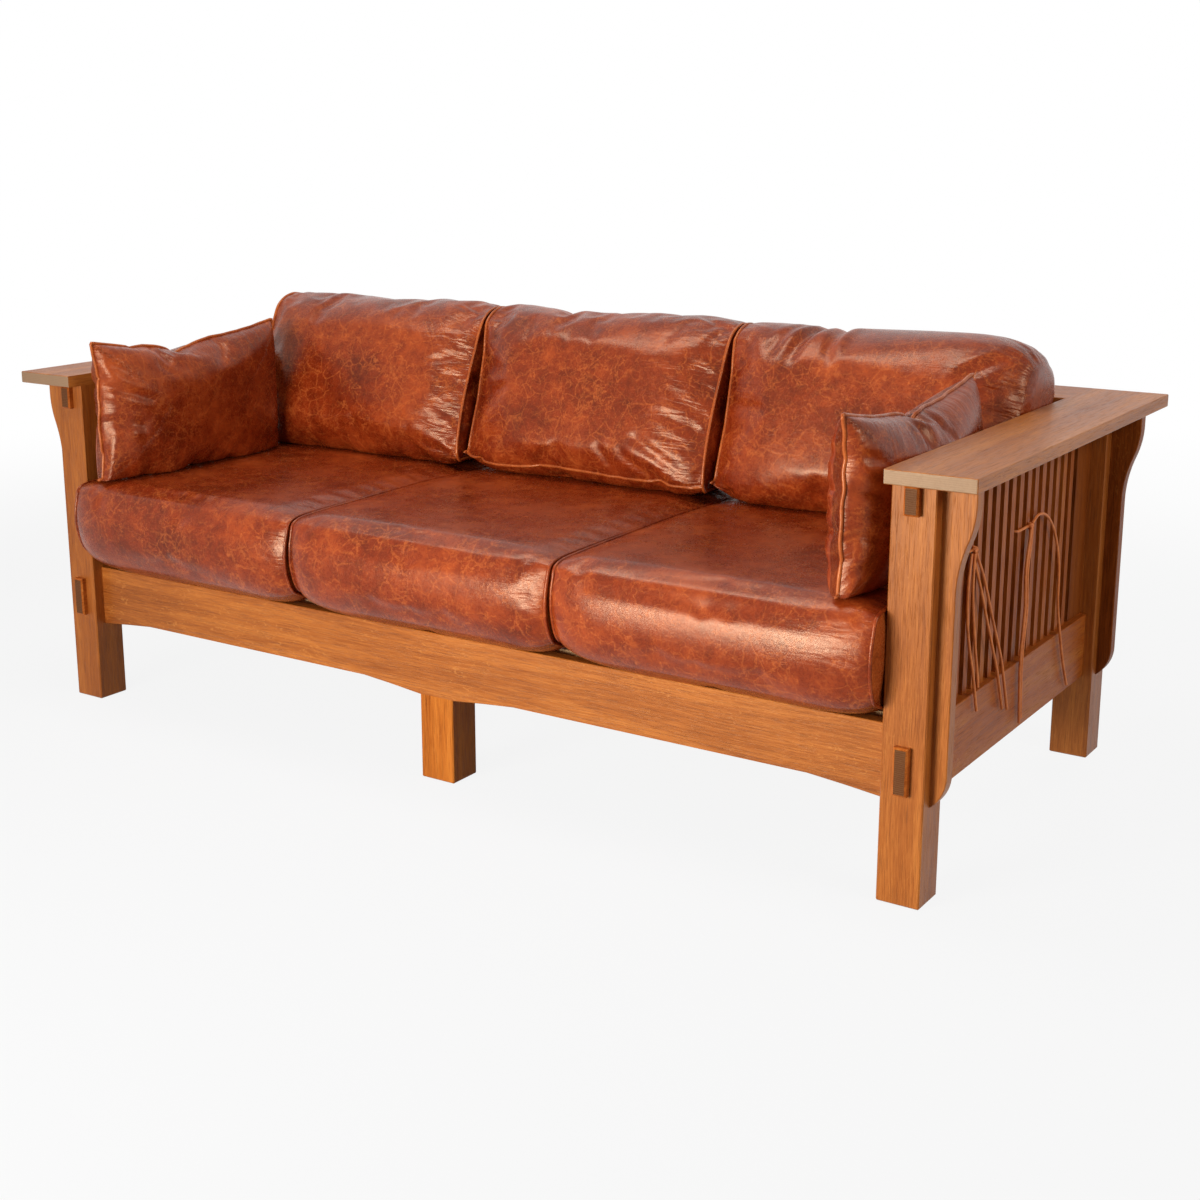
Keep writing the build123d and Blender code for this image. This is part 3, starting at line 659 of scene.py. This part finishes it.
def fillCover(cover, sim):
    piece, look = cover["piece"], cover["cloth"]
    group = piece.vertex_groups.new(name="held")
    cloth = piece.modifiers.new("cover", "CLOTH")
    settings = cloth.settings
    settings.quality = sim["quality"]
    settings.mass = sim["mass"]
    settings.tension_stiffness = settings.compression_stiffness = look["stretch"]
    settings.shear_stiffness = look["stretch"] * sim["shearShare"]
    settings.bending_stiffness = look["bend"]
    settings.tension_damping = settings.compression_damping = settings.shear_damping = sim["damping"]
    settings.air_damping = sim["airDamping"]
    settings.use_pressure = True
    settings.uniform_pressure_force = look["pressure"]
    settings.shrink_min = look["shrink"]
    settings.effector_weights.gravity = 0
    if cover["held"]:
        group.add([int(point) for point in cover["held"]], 1.0, "REPLACE")
        settings.vertex_group_mass = "held"
    cloth.collision_settings.use_collision = False
    cloth.point_cache.frame_start = 1
    cloth.point_cache.frame_end = sim["frames"]


def swell(covers, sim):
    # every cover is blown up at once against its held seams
    for cover in covers:
        fillCover(cover, sim)
    for step in range(1, sim["frames"] + 1):
        scene.frame_set(step)
    sight = bpy.context.evaluated_depsgraph_get()
    results = [readPoints(cover["piece"].evaluated_get(sight).data) for cover in covers]
    for cover, moved in zip(covers, results):
        piece = cover["piece"]
        start = readPoints(piece.data)
        shift = moved - start
        size = np.linalg.norm(shift, axis=1)
        limit = cover["cloth"]["limit"] / 1000
        shift *= np.minimum(1, limit / np.maximum(size, 1e-9))[:, None]
        print(f"{piece.name} moved {size.max() * 1000:.1f} mm at most, {size.mean() * 1000:.1f} mean")
        piece.modifiers.clear()
        piece.vertex_groups.clear()
        writePoints(piece.data, start + shift)
    scene.frame_set(1)


def weltTree():
    tree = bpy.data.node_groups.new("welt", "GeometryNodeTree")
    face = tree.interface
    face.new_socket("Geometry", in_out="INPUT", socket_type="NodeSocketGeometry")
    inputs = {
        name: face.new_socket(name, in_out="INPUT", socket_type=f"NodeSocket{kind}").identifier
        for name, kind in (("Radius", "Float"), ("Sides", "Int"), ("Step", "Float"), ("Skin", "Material"))
    }
    face.new_socket("Geometry", in_out="OUTPUT", socket_type="NodeSocketGeometry")
    net = Finish(tree=tree)
    line = net.add("NodeGroupInput", output="Geometry")
    path = net.add("GeometryNodeMeshToCurve", None, {"Mesh": line})
    even = net.add("GeometryNodeResampleCurve", {"mode": "LENGTH"}, {
        "Curve": path, "Length": line.other("Step"),
    })
    circle = net.add("GeometryNodeCurvePrimitiveCircle", None, {
        "Radius": line.other("Radius"), "Resolution": line.other("Sides"),
    })
    tube = net.add("GeometryNodeCurveToMesh", None, {"Curve": even, "Profile Curve": circle})
    smooth = net.add("GeometryNodeSetShadeSmooth", None, {"Geometry": tube})
    real = net.add("GeometryNodeRealizeInstances", None, {"Geometry": smooth})
    dressed = net.add("GeometryNodeSetMaterial", None, {"Geometry": real, "Material": line.other("Skin")})
    net.add("NodeGroupOutput", None, {"Geometry": dressed})
    return tree, inputs


weltNodes, weltInputs = weltTree()
weltLook = {"radius": 0.0034, "sides": 10, "step": 0.006}


def layWelt(name, loops, look, body, skin, node=None):
    # a corded welt along lines of points, each closed or open
    points, edges = [], []
    for loop, closed in loops:
        first = len(points)
        points += [tuple(point) for point in loop]
        edges += [(first + n, first + n + 1) for n in range(len(loop) - 1)]
        if closed:
            edges.append((first + len(loop) - 1, first))
    mesh = bpy.data.meshes.new(name + "_line")
    mesh.from_pydata(points, edges, [])
    line = bpy.data.objects.new(name + "_line", mesh)
    scene.collection.objects.link(line)
    maker = line.modifiers.new("welt", "NODES")
    maker.node_group = weltNodes
    maker[weltInputs["Radius"]] = look["radius"]
    maker[weltInputs["Sides"]] = look["sides"]
    maker[weltInputs["Step"]] = look["step"]
    maker[weltInputs["Skin"]] = skin
    sight = bpy.context.evaluated_depsgraph_get()
    made = bpy.data.meshes.new_from_object(line.evaluated_get(sight))
    bpy.data.objects.remove(line)
    welt = bpy.data.objects.new(name, made)
    scene.collection.objects.link(welt)
    if node:
        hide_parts(node)
    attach(welt, body)


# seat cushions

seat = {
    "counts": (64, 90, 22), "half": 308.5, "middle": (380, 407), "capBulge": 4.0, "crownPower": (8, 10),
    "waist": 0.0, "fullFold": 5.0,
    "profile": [
        (0.0, -22, 322), (0.12, -39, 336), (0.3, -51, 362), (0.55, -57, 404), (0.78, -53, 446),
        (0.92, -44, 474), (1.0, -36, 494), (1.04, -14, 504.5), (1.12, 40, 508), (1.3, 200, 509),
        (1.5, 380, 509), (1.8, 640, 508), (1.93, 745, 505), (2.0, 786, 488), (2.25, 803, 450),
        (2.5, 806, 407), (2.75, 800, 360), (3.0, 778, 318), (3.08, 730, 305), (3.3, 560, 302.6),
        (3.7, 220, 302.6), (3.88, 80, 304), (3.96, 14, 309),
    ],
    "leftInset": ([0, 0.5, 1, 1.5, 2, 2.5, 3, 3.5, 4], [30, 20, 10, 5, 14, 14, 14, 10, 30]),
    "rightInset": ([0, 0.5, 1, 1.5, 2, 2.5, 3, 3.5, 4], [22, 12, 8, 8, 14, 14, 14, 10, 22]),
    "gathers": (0.8, 2.0), "gatherReach": 26, "gatherPeak": 14, "gatherClear": 8, "waves": (17, 24, 37, 53),
    "pressed": [],
    "foldShare": ([0, 0.3, 0.9, 1.1, 1.2, 4], [0.5, 0.8, 1, 0.7, 0.12, 0.1]),
    "seeds": {"left": 11, "middle": 18, "right": 25}, "fill": 0.85,
}
# how a cover gives when it is filled: limit is the most that a point may move, in mm
seatCloth = {"stretch": 30, "bend": 10.0, "pressure": 3.0, "shrink": -0.004, "limit": 4}
sides = ("left", "middle", "right")
pitch = 626.53
covers = []


def addWrapped(kind, side, look, cloth):
    cube, faces, index = boxGrid(look["counts"])
    points, seam = wrapPoints(look, cube, look["seeds"][side])
    rings = [seamRing(index, look["counts"], i) for i in (0, look["counts"][0])]
    welted = [ring for end, ring in enumerate(rings) if end not in look.get("plainEnds", ())]
    creases = [(ring[n], ring[(n + 1) % len(ring)]) for ring in welted for n in range(len(ring))]
    name = f"{kind}_cushion_{side}"
    piece = softMesh(name + "_cover", settlePoints(points), faces, leatherSkin, creases, seam)
    covers.append({
        "piece": piece, "cloth": cloth, "held": [point for ring in rings for point in ring], "rings": welted,
        "node": name, "body": name + "_body", "look": look, "kind": kind, "side": side,
        "hem": [index[(i, 0, 2)] for i in range(look["counts"][0] + 1)],
    })


for number, side in enumerate(sides):
    addWrapped("seat", side, dict(seat, x=(number - 1) * pitch), seatCloth)

# back cushions

back = {
    "counts": (64, 44, 30), "half": 307, "middle": (655, 680), "capBulge": 4.0, "crownPower": (6, 5),
    "waist": 5.0, "fullFold": 5.0,
    "profile": [
        (0.0, 520, 513.5), (0.06, 505, 528), (0.14, 500, 552), (0.3, 513, 606), (0.5, 536, 672),
        (0.7, 561, 738), (0.88, 587, 800), (1.0, 608, 834), (1.12, 634, 853), (1.3, 668, 861),
        (1.5, 700, 861), (1.7, 738, 850), (1.88, 778, 824), (2.0, 800, 796), (2.08, 809, 764),
        (2.3, 794, 700), (2.6, 765, 622), (2.9, 737, 548), (3.0, 728, 526), (3.06, 708, 514),
        (3.3, 650, 512.6), (3.7, 580, 512.6), (3.94, 536, 512.8),
    ],
    "leftInset": ([0, 0.15, 0.5, 0.8, 1, 1.3, 2, 2.5, 3, 4], [34, 42, 42, 32, 14, 8, 22, 30, 20, 34]),
    "rightInset": ([0, 0.15, 0.5, 0.8, 1, 1.3, 2, 2.5, 3, 4], [14, 20, 18, 20, 14, 9, 22, 30, 20, 14]),
    "gathers": (2.4, 5.0), "gatherReach": 60, "gatherPeak": 14, "gatherClear": 8, "waves": (21, 29, 41, 63),
    "foldShare": ([0, 0.1, 0.8, 1.1, 1.4, 4], [0.5, 1, 1, 0.6, 0.25, 0.2]),
    "seeds": {"left": 40, "middle": 49, "right": 58}, "fill": 0.75,
}
backPressed = {
    "left": [((205, 60), (296, 26), 5, 9), ((190, 120), (298, 88), 4, 8), ((200, 235), (298, 262), 4, 9)],
    "middle": [
        ((150, 118), (288, 42), 6, 10), ((120, 84), (212, 26), 4, 8), ((64, 92), (108, 34), 3.5, 8),
        ((186, 176), (292, 150), 3.5, 9), ((-60, 30), (150, 24), 2.5, 6),
    ],
    "right": [
        ((-138, 452), (-160, 300), 8, 13), ((-92, 450), (-84, 318), 6, 11), ((-176, 440), (-208, 330), 4, 10),
        ((196, 300), (262, 350), 7, 12), ((232, 262), (286, 300), 5, 9), ((120, 40), (-40, 34), 2.5, 7),
    ],
}
# the end that shows over the arm is rounded off
roundEnd = {
    "rightInset": ([0, 0.15, 0.5, 0.8, 1, 1.3, 2, 2.5, 3, 4], [20, 28, 30, 38, 44, 46, 44, 36, 24, 20]),
    "crownPower": (6, 7), "plainEnds": (1,),
}
squareEnd = {"leftInset": ([0, 0.15, 0.5, 0.8, 1, 1.3, 2, 2.5, 3, 4], [16, 18, 16, 12, 9, 7, 22, 30, 20, 16])}
backCloth = {"stretch": 25, "bend": 4.0, "pressure": 3.5, "shrink": -0.02, "limit": 18}
for number, side in enumerate(sides):
    look = dict(back, x=(number - 1) * pitch, pressed=backPressed[side])
    look.update({"left": squareEnd, "right": roundEnd}.get(side, {}))
    addWrapped("back", side, look, backCloth)

# arm pillows

pillow = {
    "counts": (58, 38), "middle": (864.6, 232.5, 665), "half": (267.5, 153), "thick": 75, "drawIn": (10, 12),
    "turn": {"left": -2.4, "right": -1.0}, "foot": 512.0, "flat": 9.0, "weltRoom": 3.9, "folds": 0.4,
    "crown": (6, 4, 0.4), "cornerDip": 0.25, "loft": 0.8, "dentRise": 1.6, "rimWave": (2.6, 11, 37),
    "seeds": {"left": 70, "right": 71}, "fill": 0.65,
    "pressed": {
        "left": [
            ((-262, 60), (-150, 20), 7, 10), ((-250, -20), (-170, -28), 6, 9),
            ((-205, -30), (-185, -140), -8, 15), ((-258, 120), (-190, 70), 5, 9),
            ((250, -90), (180, -130), 5, 9), ((-120, 146), (-90, 100), 4, 9),
        ],
        "right": [
            ((-262, 90), (-190, 70), 5, 9), ((-262, 30), (-200, 20), 6, 9), ((-262, -40), (-196, -46), 6, 10),
            ((-262, -95), (-205, -90), 5, 9), ((-60, 150), (-40, 80), 8, 14), ((40, 150), (30, 100), 5, 10),
        ],
    },
}
pillowCloth = {"stretch": 20, "bend": 2.0, "pressure": 4.0, "shrink": -0.03, "limit": 40}


def pillowMesh(side, look):
    across, high = look["counts"]
    seed = look["seeds"][side]
    index, points, seam, faces = {}, [], [], []
    sign = 1 if side == "right" else -1
    halfY, halfZ = look["half"]
    powerY, powerZ, power = look["crown"]
    wave, short, long = look["rimWave"]

    def at(i, k, layer):
        rim = i in (0, across) or k in (0, high)
        key = (i, k, 0 if rim else layer)
        if key not in index:
            a, b = 2 * i / across - 1, 2 * k / high - 1
            lift = ((1 - a ** powerY) * (1 - b ** powerZ)) ** power * (1 - look["cornerDip"] * a * a * b * b)
            y = a * (halfY - look["drawIn"][0] * (1 - b * b))
            z = b * (halfZ - look["drawIn"][1] * (1 - a * a))
            index[key] = len(points)
            if rim:
                along = (y if k in (0, high) else z) * (1 + abs(a) * 0.1)
                x = wave * math.sin(along / short + seed) * math.sin(along / long + 2 * seed)
                x *= 1 - (a * b) ** 8
            else:
                dent = pressFolds(np.array([y]), np.array([z]), look["pressed"][side])[0]
                x = layer * (lift * look["thick"] * look["loft"] - dent * min(1.0, lift * look["dentRise"]))
            points.append((x, y, z))
            reachY, reachZ = (1 - abs(a)) * halfY, (1 - abs(b)) * halfZ
            along = z if reachY < reachZ else y
            seam.append((along / 1000 + layer * 3 + seed, min(reachY, reachZ) / 1000, look["folds"]))
        return index[key]

    for i in range(across):
        for k in range(high):
            quad = [(i, k), (i + 1, k), (i + 1, k + 1), (i, k + 1)]
            faces.append(tuple(at(a, b, 1) for a, b in quad))
            faces.append(tuple(at(a, b, -1) for a, b in reversed(quad)))
    rim = [(i, 0) for i in range(across)] + [(across, k) for k in range(high)]
    rim += [(i, high) for i in range(across, 0, -1)] + [(0, k) for k in range(high, 0, -1)]
    ring = [index[(i, k, 0)] for i, k in rim]
    table = np.array(points) + np.array([look["middle"][0] * sign, look["middle"][1], look["middle"][2]])
    creases = [(ring[n], ring[(n + 1) % len(ring)]) for n in range(len(ring))]
    name = f"arm_pillow_{side}"
    body = "arm_pillow_left_body" if side == "left" else "frame"
    piece = softMesh(name + "_cover", settlePoints(table), faces, leatherSkin, creases, np.array(seam))
    covers.append({
        "piece": piece, "cloth": pillowCloth, "held": [], "rings": [ring], "node": name, "body": body,
        "look": look, "kind": "pillow", "side": side,
    })


for side in ("left", "right"):
    pillowMesh(side, pillow)

swell(covers, coverSim)
print("covers filled")

# where the covers rest and end, in metres
rest = {"sideRoom": 0.0003, "seatFloor": 0.3021, "seatTop": 0.5117, "backFloor": 0.5123}


def standPillow(points, cover, lowPart=0.1, seamWide=0.004):
    # the lower seam ends just over the seat, the leather round it lies flat, and the pillow is turned
    look = cover["look"]
    rim = points[cover["rings"][0]]
    middle, foot = look["middle"][2] / 1000, look["foot"] / 1000
    lowRim = rim[rim[:, 2] < middle - lowPart]
    order = np.argsort(lowRim[:, 1])
    under = np.interp(points[:, 1], lowRim[order, 1], lowRim[order, 2])
    height = points[:, 2] - under
    flat = look["flat"] / 1000
    grown = (height - flat) * (middle - foot) / (middle - under - flat)
    low = foot + np.maximum(grown, 0) + look["weltRoom"] / 1000 * np.exp(-(height / seamWide) ** 2)
    points[:, 2] = np.where(points[:, 2] < middle, low, points[:, 2])
    turn = math.radians(look["turn"][cover["side"]])
    pivot = np.array([points[:, 0].mean(), points[:, 1].min()])
    away = points[:, :2] - pivot
    cosine, sine = math.cos(turn), math.sin(turn)
    points[:, 0] = pivot[0] + away[:, 0] * cosine - away[:, 1] * sine
    points[:, 1] = pivot[1] + away[:, 0] * sine + away[:, 1] * cosine
    return points


def settleIn(cover):
    # keep a cover in the room that its solid has, flat where it rests
    mesh = cover["piece"].data
    points = readPoints(mesh)
    low, high = (np.array(corner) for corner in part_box(cover["node"]))
    if cover["kind"] == "pillow":
        first, last = points.min(0), points.max(0)
        points = (points - (last + first) / 2) * ((high - low) / (last - first)) + (high + low) / 2
        points = standPillow(points, cover)
    else:
        points[:, 0] = np.clip(points[:, 0], low[0] - rest["sideRoom"], high[0] + rest["sideRoom"])
        points[:, 2] = np.maximum(points[:, 2], rest[cover["kind"] + "Floor"])
    if cover["kind"] == "seat":
        points[:, 2] = np.minimum(points[:, 2], rest["seatTop"])
    writePoints(mesh, points)


def lightenEnds(cover, steep=0.9, inside=2.5):
    # the end panels take the lighter welt leather
    mesh, look = cover["piece"].data, cover["look"]
    mesh.materials.append(weltSkin)
    for face in mesh.polygons:
        away = abs(face.center.x * 1000 - look["x"])
        face.material_index = int(abs(face.normal.x) > steep and away > look["half"] - inside)


def finishCover(cover):
    piece = cover["piece"]
    smooth = piece.modifiers.new("smooth", "SUBSURF")
    smooth.levels = smooth.render_levels = 1
    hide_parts(cover["node"])
    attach(piece, cover["body"])
    points = readPoints(piece.data)
    lines = [(points[ring], True) for ring in cover["rings"]]
    if cover["node"] == "back_cushion_middle":
        lines.append((points[cover["hem"]], False))
    skin = leatherSkin if cover["kind"] == "seat" else weltSkin
    layWelt(cover["node"] + "_welt", lines, weltLook, cover["body"], skin)


for cover in covers:
    settleIn(cover)
    if cover["kind"] == "seat":
        lightenEnds(cover)
    finishCover(cover)
print("cushions stuffed")

# lace loops stay, their knots are tied anew

knot = {"points": 120, "radius": 0.0026, "sides": 10, "step": 0.0012}


def tieKnot(node, look):
    low, high = (np.array(corner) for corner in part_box(node))
    t = np.linspace(0, 2 * math.pi, look["points"], endpoint=False)
    path = np.stack([np.sin(3 * t), np.sin(t) + 2 * np.sin(2 * t), np.cos(t) - 2 * np.cos(2 * t)], 1)
    path /= np.abs(path).max(0)
    path = (low + high) / 2 + path * ((high - low) / 2 - look["radius"])
    layWelt(f"{node}_tied", [(path, True)], look, "frame", laceSkin, node)


for name in ("front_lace_knot", "rear_lace_knot"):
    tieKnot(name, knot)
for name in ("front_lace_loop", "rear_lace_loop"):
    dress(name, laceSkin)
print("knots tied")

# floor, backdrop and light

studio = {
    "lamps": {
        "key": {
            "place": (-0.25, -3.1, 1.0), "aim": (1.2, 0, 0.4), "size": (1.3, 1.0), "power": 46, "spread": 130,
        },
        "sheen": {
            "place": (-0.55, -3.4, 0.5), "aim": (0.8, 0, 0.35), "size": (1.5, 0.8), "power": 31, "spread": 130,
        },
        "top": {"place": (-0.6, -0.45, 2.9), "aim": (0, -0.1, 0.4), "size": (0.7, 2.0), "power": 40},
        "side": {"place": (3.3, -0.6, 1.9), "aim": (0.8, 0, 0.5), "size": (1.2, 1.0), "power": 38},
        "back": {
            "place": (0.5, 3.6, 1.5), "aim": (0, 0.45, 0.35), "size": (2.2, 1.4), "power": 64, "seen": False,
        },
    },
    "floorReach": 30,
    "fill": 0.06, "floorTone": 0.35, "floorWhite": (0.89, 1.0), "floorFade": (1.8, 4.5),
}


def addLamp(name, look):
    data = bpy.data.lights.new(name, "AREA")
    data.shape = "RECTANGLE"
    data.size, data.size_y = look["size"]
    data.energy = look["power"]
    data.spread = math.radians(look.get("spread", 180))
    lamp = bpy.data.objects.new(name, data)
    scene.collection.objects.link(lamp)
    lamp.visible_camera = lamp.visible_glossy = look.get("seen", True)
    lamp.location = look["place"]
    toward = Vector(look["aim"]) - Vector(look["place"])
    lamp.rotation_euler = toward.to_track_quat("-Z", "Y").to_euler()


for lampName, lampLook in studio["lamps"].items():
    addLamp(lampName + "_light", lampLook)


def whiteForSight(net):
    # the eye, gloss and glass see white, other rays see the plain shade
    seen = [net.add("ShaderNodeLightPath", output=ray) for ray in (
        "Is Camera Ray", "Is Glossy Ray", "Is Transmission Ray",
    )]
    return net.maths("MINIMUM", seen[0] + seen[1] + seen[2], 1.0)


def setWorld():
    world = bpy.data.worlds.new("studio")
    world.use_nodes = True
    scene.world = world
    net = Finish(tree=world.node_tree)
    plain = net.add("ShaderNodeBackground", None, {"Color": (1, 1, 1), "Strength": studio["fill"]})
    white = net.add("ShaderNodeBackground", None, {"Color": (1, 1, 1), "Strength": 1.0})
    mixed = net.add("ShaderNodeMixShader", None, {0: whiteForSight(net), 1: plain, 2: white})
    net.add("ShaderNodeOutputWorld", None, {"Surface": mixed})


def setFloor():
    mesh = bpy.data.meshes.new("floor")
    reach = studio["floorReach"]
    corners = [(-reach, -reach, 0), (reach, -reach, 0), (reach, reach, 0), (-reach, reach, 0)]
    mesh.from_pydata(corners, [], [(0, 1, 2, 3)])
    net = Finish("pale_floor")
    far = net.add("ShaderNodeVectorMath", {"operation": "LENGTH"}, {0: net.place()}, 1)
    share = net.fade(far, *studio["floorFade"], *studio["floorWhite"])
    matt = net.add("ShaderNodeBsdfDiffuse", None, {"Color": (studio["floorTone"],) * 3})
    white = net.add("ShaderNodeEmission", None, {"Strength": 1.0})
    mixed = net.add("ShaderNodeMixShader", None, {0: whiteForSight(net) * share, 1: matt, 2: white})
    net.add("ShaderNodeOutputMaterial", None, {"Surface": mixed})
    mesh.materials.append(net.material)
    floor = bpy.data.objects.new("floor", mesh)
    scene.collection.objects.link(floor)


setWorld()
setFloor()
scene.view_settings.view_transform = "Standard"
print("studio lit")
